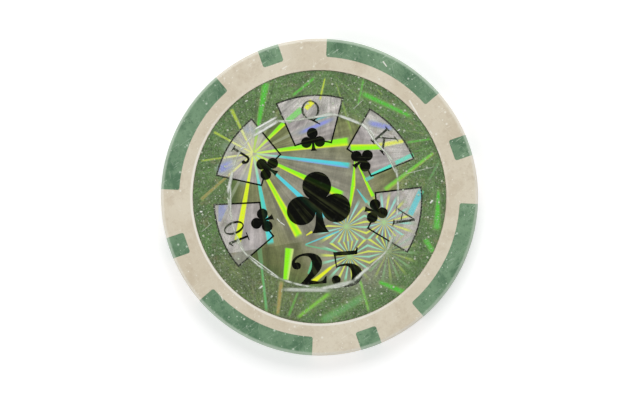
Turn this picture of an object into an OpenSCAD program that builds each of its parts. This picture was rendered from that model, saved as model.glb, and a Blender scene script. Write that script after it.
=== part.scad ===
// Poker chip: a two-colour plastic moulding over a steel weight, with a foil label in a shallow
// seat on each face. The origin is the centre of the lower face and +Z points up.

/* [Chip] */
// Diameter over the rim
chip_d = 40; // [36:0.5:48]
// Thickness over the two rim faces
chip_t = 3.3; // [3:0.1:4.5]
// Radius of the rounded edges of the rim
rim_round = 0.45; // [0.1:0.05:0.8]

/* [Edge spots] */
// How far each spot reaches in from the rim
spot_depth = 2.33; // [1.5:0.01:3]
// Angle that a long spot covers
long_spot_angle = 46.4; // [30:0.2:60]
// Width of a short spot
short_spot_w = 2.7; // [1.5:0.1:5]
// Radius of a spot's two inner corners
spot_corner = 0.3; // [0.1:0.05:0.6]
// Angle from +X to the first short spot
spot_turn = 19.1; // [0:0.1:89]
// Plain band between a spot and the label seat
seat_land = 1.67; // [0.8:0.01:3]

/* [Spot locks] */
// How far the hidden lock reaches in behind its spot
lock_depth = 0.9; // [0.4:0.1:1.4]
// How far the lock reaches past each side of its spot
lock_wing = 0.6; // [0.2:0.1:1]
// Thickness of the lock
lock_t = 1.1; // [0.6:0.1:1.6]
// Plastic left between the lock's wings and the rim
lock_rim_wall = 1.2; // [0.8:0.1:1.4]

/* [Weight] */
// Plastic between the weight's edge and the locks
slug_wall = 1.77; // [0.8:0.01:4]
// Plastic skin between the weight and each label seat
slug_skin = 0.5; // [0.3:0.05:0.8]
// Number of holes that the plastic flows through
flow_holes = 6; // [3:1:8]
// Diameter of a flow hole
flow_hole_d = 3; // [2:0.1:4]
// From the weight's edge to the middle of the flow holes
flow_hole_inset = 4; // [3:0.1:5]
// Number of mould pin marks in each label seat
pin_marks = 3; // [3:1:6]
// Diameter of a mould pin mark
pin_mark_d = 2; // [1:0.1:3]
// From the weight's edge to the middle of the pin marks
pin_mark_inset = 9; // [8:0.1:11]

/* [Label layers] */
// Gap all round between the label and its seat
seat_clear = 0.05; // [0.02:0.01:0.3]
// Thickness of the adhesive
adhesive_t = 0.05; // [0.02:0.01:0.1]
// Thickness of the foil
foil_t = 0.05; // [0.02:0.01:0.1]
// Thickness of the printed inks
ink_t = 0.02; // [0.01:0.01:0.05]
// Thickness of the clear film over the print
film_t = 0.05; // [0.02:0.01:0.1]
// How far the film stands off the print near its edge
film_lift = 0.08; // [0.02:0.01:0.2]
// From the label's edge to the round fold where the film lifts
fold_inset = 5.2; // [3:0.1:8]
// Width of that fold
fold_w = 0.35; // [0.1:0.05:1]
// Middle of the fold, along X
fold_x = -0.62; // [-1:0.01:1]
// Middle of the fold, along Y
fold_y = -0.45; // [-1:0.01:1]
// How far the highest film lies below the rim face
label_sink = 0.05; // [0.02:0.01:0.3]

/* [Print] */
// Middle of the print, along X
print_x = -0.21; // [-0.5:0.01:0.5]
// Middle of the print, along Y
print_y = -0.28; // [-0.5:0.01:0.5]
// Turn of the print
print_turn = 4.8; // [-45:0.1:45]
// Width of the green between the cards' clubs and the open middle
green_w = 0.6; // [0.3:0.01:1.5]
// From the label's edge to the outer edge of the cards
card_inset = 2.75; // [2:0.01:4]
// Height of a card
card_h = 6; // [5:0.01:7]
// Angle that a card covers
card_angle = 38.1; // [30:0.1:42]
// Angle from one card to the next
card_step = 53.5; // [45:0.1:60]
// Width of a card's outline
card_line = 0.2; // [0.1:0.01:0.4]
// Height of a card's index
index_h = 2.6; // [1.5:0.1:3]
// From the outer edge of a card to the top of its index
index_inset = 0.72; // [0.3:0.01:1.5]
// Radius of the leaves of a card's club
pip_leaf_r = 0.69; // [0.4:0.01:0.8]
// Radius of the leaves of the club in the middle
club_leaf_r = 1.82; // [1:0.01:2]
// From the middle of the print down to the side leaves of that club
club_drop = 1.33; // [0:0.01:2]
// Height of the value
value_h = 4; // [2:0.1:4.5]
// From the label's edge to the foot of the value
value_inset = 5.26; // [4:0.01:6]

/* [Hidden] */

$fn = 128;
cream = [0.80, 0.76, 0.68];
green = [0.33, 0.55, 0.42];
steel = [0.56, 0.57, 0.58];
glue = [0.90, 0.88, 0.80];
silver = [0.66, 0.64, 0.65];
green_ink = [0.35, 0.46, 0.30];
black_ink = [0.07, 0.08, 0.06];
clear = [0.90, 0.95, 0.98, 0.35];

chip_r = chip_d / 2;
spots_each = 4;
spot_step = 360 / spots_each;
spot_in_r = chip_r - spot_depth;
lock_in_r = spot_in_r - lock_depth;
lock_out_r = chip_r - lock_rim_wall;

film_z = adhesive_t + foil_t + ink_t;
seat_depth = film_z + film_lift + film_t + label_sink;
seat_r = spot_in_r - seat_land;
label_r = seat_r - seat_clear;

slug_r = lock_in_r - slug_wall;
slug_z = seat_depth + slug_skin;
slug_t = chip_t - 2 * slug_z;
flow_hole_at = slug_r - flow_hole_inset;
pin_mark_at = slug_r - pin_mark_inset;

fold_r = label_r - fold_inset;
// From the middle of a club's side leaves down to its foot, in leaf radii
club_foot = 1.62;
card_out_r = label_r - card_inset;
card_in_r = card_out_r - card_h;
green_in_r = card_in_r - club_foot * pip_leaf_r - green_w;
index_foot_r = card_out_r - index_inset - index_h;
value_foot_y = value_inset - label_r;
ten = 0;
jack = 1;
queen = 2;
king = 3;
ace = 4;
// The numerals are drawn at this height and then scaled
numeral_drawn_h = 3.9;
// Places of the two numerals at that drawn height, from the foot of the value
two_at = [-3.2, 0];
five_at = [0.8, -0.49];
// Points along each quarter of an oval and along each curve of a numeral
curve_steps = 8;
// A cut runs this far past the face that it opens
past = 1;
// A corner circle overlaps a curved edge by this much, so that the two cross and don't just touch
bite = 0.005;

function curve(a, b, c, d) = [
  for (i = [0 : curve_steps - 1])
    let (t = i / curve_steps, u = 1 - t)
      a * u * u * u + b * 3 * t * u * u + c * 3 * t * t * u + d * t * t * t
];

function oval(half_w, half_h) = [
  for (i = [0 : 4 * curve_steps - 1])
    let (angle = 90 * i / curve_steps)
      [half_w * cos(angle), half_h * sin(angle)]
];

// A straight pen stroke from p to q, as wide as given at each end
module stroke(p, q, p_width, q_width) {
  along = (q - p) / norm(q - p);
  across = [-along[1], along[0]] / 2;
  polygon([p + across * p_width, p - across * p_width, q - across * q_width, q + across * q_width]);
}

// A wedge about +Y with its tip at the height given
module wedge(half_angle, tip_y, reach) {
  half_w = reach * tan(half_angle);
  polygon([[0, tip_y], [half_w, tip_y + reach], [-half_w, tip_y + reach]]);
}

// A piece of a ring about +Y, drawn in on every side by inset
module fan(in_r, out_r, half_angle, inset = 0) {
  difference() {
    intersection() {
      circle(out_r - inset);
      wedge(half_angle, inset / sin(half_angle), 2 * out_r);
    }
    circle(in_r + inset);
  }
}

// Chip without seats or cuts, with its rounded rim
module chip_blank() {
  flat_r = chip_r - rim_round;
  rotate_extrude() {
    square([flat_r, chip_t]);
    translate([0, rim_round]) square([chip_r, chip_t - 2 * rim_round]);
    for (z = [rim_round, chip_t - rim_round]) translate([flat_r, z]) circle(rim_round);
  }
}

// Outline of a long spot about +Y, with rounded inner corners
module long_spot_outline(out_r) {
  half_angle = long_spot_angle / 2;
  corner_at = spot_in_r + spot_corner;
  corner_angle = half_angle - asin(spot_corner / corner_at);
  tangent_r = corner_at * cos(half_angle - corner_angle);
  fan(spot_in_r, out_r, corner_angle);
  fan(tangent_r, out_r, half_angle);
  for (side = [-1, 1]) rotate(side * corner_angle) translate([0, corner_at]) circle(spot_corner + bite);
}

// Outline of a short spot about +Y, with rounded inner corners
module short_spot_outline(out_r) {
  half_w = short_spot_w / 2;
  corner_x = half_w - spot_corner;
  corner_y = spot_in_r + spot_corner;
  translate([-half_w, corner_y]) square([short_spot_w, out_r - corner_y]);
  translate([-corner_x, spot_in_r]) square([2 * corner_x, 2 * spot_corner]);
  for (side = [-1, 1]) translate([side * corner_x, corner_y]) circle(spot_corner);
}

module lock_slice() {
  translate([0, 0, (chip_t - lock_t) / 2]) linear_extrude(lock_t) children();
}

// A long spot about +Y: the block that shows and the lock behind it
module long_spot_solid() {
  wing_angle = asin(lock_wing / lock_in_r);
  linear_extrude(chip_t) long_spot_outline(chip_r + past);
  lock_slice() fan(lock_in_r, lock_out_r, long_spot_angle / 2 + wing_angle);
}

// A short spot about +Y: the block that shows and the lock behind it
module short_spot_solid() {
  lock_w = short_spot_w + 2 * lock_wing;
  linear_extrude(chip_t) short_spot_outline(chip_r + past);
  lock_slice() translate([-lock_w / 2, lock_in_r]) square([lock_w, lock_out_r - lock_in_r]);
}

function short_spot_turn(i) = spot_turn - 90 + spot_step * (i - 1);
function long_spot_turn(i) = short_spot_turn(i) + spot_step / 2;

module short_edge_spot(i) {
  color(green) intersection() {
    rotate(short_spot_turn(i)) short_spot_solid();
    chip_blank();
  }
}

module long_edge_spot(i) {
  color(green) intersection() {
    rotate(long_spot_turn(i)) long_spot_solid();
    chip_blank();
  }
}

module ring_of(count, at_r) {
  for (i = [0 : count - 1]) rotate(360 * i / count) translate([at_r, 0]) children();
}

// The steel disc with the holes that the plastic runs through
module slug_solid() {
  translate([0, 0, slug_z]) linear_extrude(slug_t) difference() {
    circle(slug_r);
    ring_of(flow_holes, flow_hole_at) circle(d = flow_hole_d);
  }
}

module weight_slug() {
  color(steel) slug_solid();
}

// The marks that the mould's pins leave, from each label seat down to the weight
module pin_mark_cuts() {
  ring_of(pin_marks, pin_mark_at) for (z = [seat_depth / 2, slug_z + slug_t]) {
    translate([0, 0, z]) cylinder(h = slug_z - seat_depth / 2, d = pin_mark_d);
  }
}

module chip_body() {
  color(cream) difference() {
    chip_blank();
    slug_solid();
    for (i = [1 : spots_each]) {
      rotate(short_spot_turn(i)) short_spot_solid();
      rotate(long_spot_turn(i)) long_spot_solid();
    }
    translate([0, 0, chip_t - seat_depth]) cylinder(h = seat_depth + past, r = seat_r);
    translate([0, 0, -past]) cylinder(h = seat_depth + past, r = seat_r);
    pin_mark_cuts();
  }
}

// A club standing on +Y, with its origin midway between the side leaves
module club(leaf_r) {
  side_x = 1.21;
  top_y = 1.62;
  foot_x = 0.6;
  neck_x = 0.22;
  neck_y = 0.1;
  right_edge = curve([neck_x, neck_y], [neck_x, -0.9], [0.34, -1.3], [foot_x, -club_foot]);
  left_edge = [for (i = [len(right_edge) - 1 : -1 : 0]) [-right_edge[i][0], right_edge[i][1]]];
  scale(leaf_r) {
    for (side = [-1, 1]) translate([side * side_x, 0]) circle(1);
    translate([0, top_y]) circle(1);
    polygon([[-side_x, 0], [side_x, 0], [0, top_y]]);
    polygon(concat(right_edge, [[foot_x, -club_foot], [-foot_x, -club_foot]], left_edge));
  }
}

// Index letters and numbers stand on y = 0 and are 1 high
serif = 0.05;
hair = 0.06;
stem = 0.11;

module serif_at(x, y, half_w) {
  stroke([x - half_w, y], [x + half_w, y], serif, serif);
}

module index_one() {
  stroke([0, 0], [0, 1], stem, stem);
  stroke([0.02, 0.98], [-0.19, 0.85], 0.08, 0.04);
  serif_at(0, serif / 2, 0.2);
}

module index_zero() {
  translate([0, 0.5]) difference() {
    polygon(oval(0.31, 0.5));
    polygon(oval(0.31 - stem, 0.5 - hair));
  }
}

module index_ten() {
  translate([-0.42, 0]) index_one();
  translate([0.2, 0]) index_zero();
}

module index_jack() {
  hook_at = [-0.22, 0.2];
  hook_r = 0.21;
  stem_x = hook_at[0] + hook_r - stem / 2;
  serif_at(stem_x, 1 - serif / 2, 0.17);
  stroke([stem_x, hook_at[1]], [stem_x, 1], stem, stem);
  translate(hook_at) {
    difference() {
      circle(hook_r);
      circle(hook_r - stem);
      translate([-1, 0]) square([2, 1]);
    }
    translate([stem / 2 - hook_r, 0]) circle(0.09);
  }
}

module index_queen() {
  translate([0, 0.54]) difference() {
    polygon(oval(0.44, 0.46));
    polygon(oval(0.44 - stem, 0.46 - serif));
  }
  stroke([-0.15, 0.12], [0.12, 0.01], 0.07, 0.09);
  stroke([0.08, 0.03], [0.42, -0.2], 0.1, 0.04);
  stroke([0.1, 0.02], [0.34, 0.14], 0.08, 0.04);
}

module index_king() {
  stem_x = -0.32;
  arm_x = 0.32;
  leg_x = 0.37;
  stroke([stem_x, 0], [stem_x, 1], stem, stem);
  stroke([stem_x, 0.36], [arm_x, 1 - serif / 2], hair, hair);
  stroke([-0.08, 0.57], [leg_x, serif / 2], stem, stem);
  for (y = [serif / 2, 1 - serif / 2]) serif_at(stem_x, y, 0.15);
  serif_at(arm_x, 1 - serif / 2, 0.16);
  serif_at(leg_x, serif / 2, 0.17);
}

module index_ace() {
  foot_x = 0.36;
  stroke([-foot_x, serif / 2], [0, 1], hair, hair);
  stroke([foot_x, serif / 2], [0, 1], stem + 0.02, stem);
  stroke([-0.24, 0.36], [0.24, 0.36], serif, serif);
  for (side = [-1, 1]) serif_at(side * foot_x, serif / 2, 0.15);
}

module index(card) {
  if (card == ten) index_ten();
  if (card == jack) index_jack();
  if (card == queen) index_queen();
  if (card == king) index_king();
  if (card == ace) index_ace();
}

// Heavy figures with ball ends, at their drawn height
module numeral_two() {
  polygon(concat(
    curve([-0.15, 2.00], [-0.50, 2.03], [-0.68, 2.35], [-0.67, 2.75]),
    curve([-0.67, 2.75], [-0.65, 3.45], [0.40, 3.95], [1.45, 3.90]),
    curve([1.45, 3.90], [2.50, 3.85], [3.12, 3.25], [3.08, 2.50]),
    curve([3.08, 2.50], [3.02, 1.60], [2.00, 0.95], [1.15, 0.30]),
    curve([2.45, 0.30], [2.95, 0.30], [3.20, 0.50], [3.32, 0.95]),
    [[3.50, 0.95], [3.40, 0.00]],
    curve([0.00, 0.00], [1.05, 0.95], [1.78, 1.60], [1.82, 2.50]),
    curve([1.82, 2.50], [1.85, 3.20], [1.50, 3.55], [0.88, 3.57]),
    curve([0.88, 3.57], [0.30, 3.58], [-0.20, 3.20], [-0.30, 2.75])
  ));
  translate([0, 2.42]) circle(0.45);
}

module numeral_five() {
  polygon(concat(
    [[0.52, 4.22], [3.30, 4.22], [3.45, 4.60], [3.60, 4.52], [3.45, 3.72], [0.84, 3.72]],
    curve([0.84, 2.45], [1.15, 2.65], [1.60, 2.72], [2.08, 2.72]),
    curve([2.08, 2.72], [3.10, 2.72], [3.88, 2.20], [3.88, 1.40]),
    curve([3.88, 1.40], [3.88, 0.40], [3.00, -0.20], [1.90, -0.20]),
    curve([1.90, -0.20], [0.90, -0.20], [0.07, 0.20], [0.07, 0.80]),
    curve([0.62, 0.40], [0.80, 0.05], [1.20, 0.00], [1.75, 0.00]),
    curve([1.75, 0.00], [2.30, 0.00], [2.58, 0.60], [2.58, 1.40]),
    curve([2.58, 1.40], [2.58, 2.10], [2.30, 2.42], [1.75, 2.42]),
    curve([1.75, 2.42], [1.35, 2.42], [0.95, 2.35], [0.60, 2.20])
  ));
  translate([0.62, 0.8]) circle(0.55);
}

module value() {
  translate([0, value_foot_y]) scale(value_h / numeral_drawn_h) {
    translate(two_at) numeral_two();
    translate(five_at) numeral_five();
  }
}

// Places its drawing on each of the cards, which stand with their tops outwards
module at_card(card) {
  rotate((queen - card) * card_step) children();
}

module card_panel() {
  fan(card_in_r, card_out_r, card_angle / 2);
}

module card_window() {
  fan(card_in_r, card_out_r, card_angle / 2, card_line);
}

module pip() {
  translate([0, card_in_r]) club(pip_leaf_r);
}

module centre_club() {
  translate([0, -club_drop]) club(club_leaf_r);
}

module printed() {
  translate([print_x, print_y]) rotate(print_turn) children();
}

// The label layers are drawn with z = 0 on the floor of the seat and +Z outwards
module upper_face() {
  translate([0, 0, chip_t - seat_depth]) children();
}

module lower_face() {
  translate([0, 0, seat_depth]) rotate([180, 0, 0]) children();
}

module label_adhesive() {
  color(glue) cylinder(h = adhesive_t, r = label_r);
}

module label_foil() {
  color(silver) translate([0, 0, adhesive_t]) cylinder(h = foil_t, r = label_r);
}

module ink_layer() {
  translate([0, 0, adhesive_t + foil_t]) linear_extrude(ink_t) children();
}

// The green stops at the black, so that the two inks lie side by side on the foil
module label_green_ink() {
  color(green_ink) ink_layer() difference() {
    circle(label_r);
    printed() {
      circle(green_in_r);
      for (card = [ten : ace]) at_card(card) {
        card_panel();
        pip();
      }
      centre_club();
      value();
    }
  }
}

module label_black_ink() {
  color(black_ink) ink_layer() printed() {
    for (card = [ten : ace]) at_card(card) {
      difference() {
        card_panel();
        card_window();
      }
      pip();
      translate([0, index_foot_r]) scale(index_h) index(card);
    }
    centre_club();
    value();
  }
}

// The clear film is bonded to the print inside its fold and stands off it outside
module label_film() {
  reach = label_r + norm([fold_x, fold_y]) + past;
  low_r = fold_r - fold_w / 2;
  high_r = fold_r + fold_w / 2;
  under = [[0, 0], [low_r, 0], [high_r, film_lift], [reach, film_lift]];
  over = [for (i = [len(under) - 1 : -1 : 0]) under[i] + [0, film_t]];
  color(clear) translate([0, 0, film_z]) intersection() {
    translate([fold_x, fold_y]) rotate_extrude() polygon(concat(under, over));
    cylinder(h = film_lift + film_t, r = label_r);
  }
}

chip_body();
weight_slug();
long_edge_spot(1);  // long_edge_spot_1
long_edge_spot(2);  // long_edge_spot_2
long_edge_spot(3);  // long_edge_spot_3
long_edge_spot(4);  // long_edge_spot_4
short_edge_spot(1);  // short_edge_spot_1
short_edge_spot(2);  // short_edge_spot_2
short_edge_spot(3);  // short_edge_spot_3
short_edge_spot(4);  // short_edge_spot_4
upper_face() label_adhesive();  // upper_label_adhesive
upper_face() label_foil();  // upper_label_foil
upper_face() label_green_ink();  // upper_label_green_ink
upper_face() label_black_ink();  // upper_label_black_ink
upper_face() label_film();  // upper_label_film
lower_face() label_adhesive();  // lower_label_adhesive
lower_face() label_foil();  // lower_label_foil
lower_face() label_green_ink();  // lower_label_green_ink
lower_face() label_black_ink();  // lower_label_black_ink
lower_face() label_film();  // lower_label_film
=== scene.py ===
import math

import bpy
from mathutils import Matrix, Vector


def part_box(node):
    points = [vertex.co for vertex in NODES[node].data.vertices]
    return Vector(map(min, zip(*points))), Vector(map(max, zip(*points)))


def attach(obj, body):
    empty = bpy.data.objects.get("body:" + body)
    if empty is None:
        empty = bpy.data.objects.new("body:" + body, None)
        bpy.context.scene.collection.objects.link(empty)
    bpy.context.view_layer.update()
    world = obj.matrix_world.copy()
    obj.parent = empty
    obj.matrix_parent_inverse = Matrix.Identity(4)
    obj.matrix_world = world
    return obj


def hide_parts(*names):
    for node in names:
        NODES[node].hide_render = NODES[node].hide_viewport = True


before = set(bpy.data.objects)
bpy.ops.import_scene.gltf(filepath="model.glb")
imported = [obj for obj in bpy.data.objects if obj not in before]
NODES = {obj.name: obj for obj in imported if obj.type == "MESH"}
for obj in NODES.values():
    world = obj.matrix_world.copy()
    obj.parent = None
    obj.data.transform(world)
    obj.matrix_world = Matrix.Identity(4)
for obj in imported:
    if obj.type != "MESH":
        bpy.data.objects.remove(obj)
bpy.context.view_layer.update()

MM = 0.001

# Sizes that the frame gives, in metres
chip_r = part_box("chip_body")[1].x
chip_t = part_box("chip_body")[1].z
label_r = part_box("upper_label_foil")[1].x
film_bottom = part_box("upper_label_film")[0].z
film_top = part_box("upper_label_film")[1].z

# Label places below are in millimetres from the middle of a label, with its value at the bottom
LABEL_R = label_r / MM
MAIN_BURST = (-8.35, 5.45)
# Bursts whose middles lie near or past the label's edge
EDGE_BURSTS = [(1.3, 15.6), (14.5, 5.8), (-5.6, -18.0)]
FOLD_MIDDLE = (-0.62, -0.45)
FOLD_R = 10.75


def srgb(red, green, blue):
    """Linear colour of the screen colour given, from 0 to 255."""
    def linear(value):
        share = value / 255
        return share / 12.92 if share <= 0.04045 else ((share + 0.055) / 1.055) ** 2.4
    return (linear(red), linear(green), linear(blue), 1.0)


def turned(length, degrees):
    return Vector((length * math.cos(math.radians(degrees)), length * math.sin(math.radians(degrees))))


class Graph:
    """Adds nodes to a node tree. A value may be a number, a colour or the socket of another node."""

    def __init__(self, tree):
        self.tree = tree

    def put(self, socket, value):
        if isinstance(value, bpy.types.NodeSocket):
            self.tree.links.new(value, socket)
        elif value is not None:
            socket.default_value = value

    def add(self, kind, *values, **settings):
        node = self.tree.nodes.new("ShaderNode" + kind)
        for name, value in settings.items():
            setattr(node, name, value)
        for socket, value in zip(node.inputs, values):
            self.put(socket, value)
        return node

    def math(self, operation, *values):
        return self.add("Math", *values, operation=operation).outputs[0]

    def vector(self, operation, *values):
        return self.add("VectorMath", *values, operation=operation).outputs

    def step(self, value, low, high, to_low=0.0, to_high=1.0):
        """Runs smoothly from to_low to to_high while value goes from low to high."""
        node = self.add("MapRange", value, low, high, to_low, to_high, interpolation_type="SMOOTHSTEP")
        node.clamp = False
        return node.outputs[0]

    def mix(self, share, first, second, blend="MIX"):
        node = self.add("Mix", data_type="RGBA", blend_type=blend)
        self.put(node.inputs[0], share)
        self.put(node.inputs[6], first)
        self.put(node.inputs[7], second)
        return node.outputs[2]

    def ramp(self, share, stops):
        """Colours along share, as (place, colour) pairs."""
        node = self.add("ValToRGB", share)
        while len(node.color_ramp.elements) < len(stops):
            node.color_ramp.elements.new(1.0)
        for element, (place, colour) in zip(node.color_ramp.elements, stops):
            element.position = place
            element.color = colour
        return node.outputs[0]

    def noise(self, place, scale, detail=2.0, roughness=0.5):
        return self.add("TexNoise", place, None, scale, detail, roughness).outputs[0]

    def local(self, place, origin, degrees, size=(1.0, 1.0)):
        """place seen from origin, turned by the angle and measured in units of size."""
        node = self.add("Mapping", place, vector_type="TEXTURE")
        node.inputs["Location"].default_value = (origin[0], origin[1], 0.0)
        node.inputs["Rotation"].default_value = (0.0, 0.0, math.radians(degrees))
        node.inputs["Scale"].default_value = (size[0], size[1], 1.0)
        return node.outputs[0]

    def xyz(self, vector):
        return self.add("SeparateXYZ", vector).outputs

    def place(self):
        """Millimetres in the frame."""
        where = self.add("TexCoord").outputs["Object"]
        return self.vector("SCALE", where, None, None, 1 / MM)[0]

    def label_xy(self):
        """Millimetres on a label, the same on both faces."""
        x, y, z = self.xyz(self.place())
        side = self.math("SIGN", self.math("SUBTRACT", z, chip_t / MM / 2))
        return x, self.math("MULTIPLY", y, side)

    def flat(self, xy):
        """A place for the textures."""
        return self.add("CombineXYZ", *xy, 0.0).outputs[0]

    def line(self, xy, a, b, c):
        """a * x + b * y + c"""
        return self.math("MULTIPLY_ADD", xy[0], a, self.math("MULTIPLY_ADD", xy[1], b, c))

    def seen_from(self, xy, origin, degrees, unit=1.0):
        """How far a place is along a line from origin at the angle, in units, and how far to its left."""
        ahead = turned(1.0, degrees)
        left = turned(1.0, degrees + 90)
        along = self.line(xy, ahead.x / unit, ahead.y / unit, -ahead.dot(Vector(origin)) / unit)
        return along, self.line(xy, left.x, left.y, -left.dot(Vector(origin)))

    def length(self, x, y):
        return self.math("SQRT", self.math("MULTIPLY_ADD", x, x, self.math("MULTIPLY", y, y)))

    def radius(self, xy, origin=(0.0, 0.0)):
        """Distance from origin."""
        return self.length(*self.seen_from(xy, origin, 0.0))

    def right_of(self, xy, origin, degrees):
        """1 to the right of the line from origin at the angle, and 0 to its left."""
        return self.step(self.seen_from(xy, origin, degrees)[1], 0.05, -0.05)

    def specks(self, place, size, spacing, share, flat):
        """Dots up to size across, in a share of the cells of a pattern with that spacing."""
        cells = self.add("TexVoronoi", place, voronoi_dimensions="2D" if flat else "3D")
        cells.inputs["Scale"].default_value = 1 / spacing
        chance = self.add("SeparateColor", cells.outputs["Color"]).outputs[0]
        reach = size / spacing / 2
        dot = self.step(cells.outputs["Distance"], reach, reach * 0.4)
        return self.math("MULTIPLY", dot, self.math("LESS_THAN", chance, share))

    def scratches(self, place, degrees, length, width, threshold):
        """Short marks along one direction."""
        stretched = self.local(place, (0.0, 0.0), degrees, (length, width))
        return self.step(self.noise(stretched, 1.0, 1.0), threshold, threshold + 0.06)

    def group(self, tree):
        node = self.add("Group")
        node.node_tree = tree
        return node


def new_material(name):
    """A material with an empty node tree, its graph and its Principled shader."""
    material = bpy.data.materials.new(name)
    material.use_nodes = True
    material.node_tree.nodes.clear()
    graph = Graph(material.node_tree)
    shader = graph.add("BsdfPrincipled")
    output = graph.add("OutputMaterial")
    graph.put(output.inputs["Surface"], shader.outputs[0])
    return material, graph, shader.inputs


def wear(material_nodes, material):
    for name in material_nodes:
        slots = NODES[name].data.materials
        slots.clear()
        slots.append(material)


LIME = srgb(150, 252, 15)
YELLOW = srgb(242, 245, 40)
PALE = srgb(238, 242, 170)
CYAN = srgb(85, 215, 228)
TEAL = srgb(95, 205, 165)
GREEN = srgb(75, 205, 50)
LEAF = srgb(105, 165, 65)
VIOLET = srgb(145, 152, 224)
LILAC = srgb(198, 192, 208)
TAN = srgb(188, 154, 108)
MOSS = srgb(158, 182, 78)
AQUA = srgb(92, 232, 208)
MINT = srgb(132, 222, 112)
GLOW = srgb(222, 250, 32)
# Colour of the light near the middle of the main burst, and where no light falls
HEART = srgb(226, 232, 128)
UNLIT = (0.3, 0.4, 0.2, 1.0)

# A band of light has one colour, or three of them from its left edge to its right one
LIME_LEFT = (LIME, LIME, YELLOW)
LIME_RIGHT = (YELLOW, LIME, LIME)
LIME_CORE = (YELLOW, LIME, YELLOW)
GREEN_CORE = (LEAF, GREEN, LEAF)
MOSS_CORE = (MOSS, YELLOW, MOSS)
CYAN_LEFT = (CYAN, CYAN, VIOLET)
TEAL_LEFT = (TEAL, TEAL, GREEN)

# Half width of the main burst's rays at its middle
RAY_START_HALF = 0.12
# Rays of the main burst: angle, length, half width at the end, colours, strength
MAIN_RAYS = [
    (27.0, 9.0, 0.30, LILAC, 0.5),
    (62.0, 5.0, 0.22, LILAC, 0.5),
    (98.0, 4.0, 0.18, LILAC, 0.6),
    (134.0, 3.4, 0.16, LILAC, 0.6),
    (170.0, 3.4, 0.16, LILAC, 0.6),
    (206.0, 4.0, 0.20, LILAC, 0.6),
    (243.0, 8.0, 0.30, LILAC, 0.5),
    (7.2, 12.4, 0.70, LIME_LEFT, 1.0),
    (44.6, 5.7, 0.40, LIME_LEFT, 1.0),
    (79.9, 9.3, 0.66, GREEN_CORE, 1.0),
    (116.4, 6.4, 0.34, MOSS_CORE, 0.8),
    (151.3, 5.8, 0.24, MOSS_CORE, 0.75),
    (188.0, 6.8, 0.18, MOSS_CORE, 0.65),
    (221.5, 9.0, 0.26, TAN, 0.8),
    (116.4, 3.5, 0.20, PALE, 0.95),
    (151.3, 3.6, 0.18, PALE, 0.95),
    (188.0, 3.9, 0.16, PALE, 0.95),
    (221.5, 4.2, 0.18, PALE, 0.9),
    (260.0, 11.6, 0.58, (YELLOW, GLOW, YELLOW), 1.0),
    (281.0, 11.9, 0.54, (CYAN, CYAN, AQUA), 1.0),
    (299.0, 12.2, 0.68, LIME_CORE, 1.0),
    (317.5, 12.4, 0.50, CYAN, 1.0),
    (334.8, 12.7, 0.66, LIME_LEFT, 1.0),
    (352.8, 12.6, 0.48, CYAN_LEFT, 1.0),
]

# Streaks elsewhere: start, end, half widths there, colours, strength
STREAKS = [
    # Below the main burst
    ((-3.75, -6.4), (-4.25, -10.6), 0.70, 0.42, (PALE, LIME, LIME), 1.0),
    ((-7.6, -6.4), (-7.3, -8.6), 0.42, 0.30, TEAL, 0.45),
    ((-1.35, -9.8), (-0.75, -8.0), 0.25, 0.30, TEAL, 0.9),
    ((-1.7, -4.9), (-0.9, -4.4), 0.08, 0.20, YELLOW, 0.9),
    ((-1.9, -6.1), (2.6, -4.3), 0.10, 0.14, CYAN, 0.9),
    ((-1.9, -6.1), (2.2, -6.95), 0.10, 0.14, TEAL, 0.8),
    ((1.5, -8.9), (-1.0, -10.9), 0.20, 0.38, YELLOW, 1.0),
    # Above the small bursts
    ((4.45, 4.7), (4.25, 1.2), 0.05, 0.36, LIME_RIGHT, 1.0),
    ((4.25, 1.4), (3.75, -1.8), 0.36, 0.15, LIME_RIGHT, 1.0),
    ((4.6, 4.6), (6.8, -0.1), 0.05, 0.32, LIME_LEFT, 1.0),
    ((4.7, 1.0), (6.0, -0.8), 0.06, 0.24, CYAN, 0.9),
    ((8.1, 0.7), (14.5, 5.6), 0.45, 0.25, (GREEN, LIME, TAN), 0.75),
    ((5.8, 2.1), (6.8, 2.6), 0.30, 0.30, CYAN, 0.8),
    # In the cards
    ((3.8, 6.2), (7.9, 6.3), 0.50, 0.44, (YELLOW, LIME, LIME), 1.0),
    ((7.4, 6.45), (10.7, 7.05), 0.44, 0.34, (PALE, YELLOW, PALE), 0.95),
    ((6.4, 2.65), (9.3, 4.0), 0.26, 0.32, AQUA, 1.0),
    ((9.5, 4.2), (11.9, 5.35), 0.34, 0.34, AQUA, 0.9),
    ((11.35, -2.4), (12.9, 0.9), 0.48, 0.48, CYAN, 0.9),
    ((-4.1, 9.5), (-2.2, 11.1), 0.44, 0.50, MINT, 0.95),
    ((-1.75, 11.05), (-0.85, 12.1), 0.36, 0.50, YELLOW, 1.0),
    ((-12.1, -0.9), (-12.6, -3.2), 0.85, 0.20, VIOLET, 0.8),
]

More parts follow.
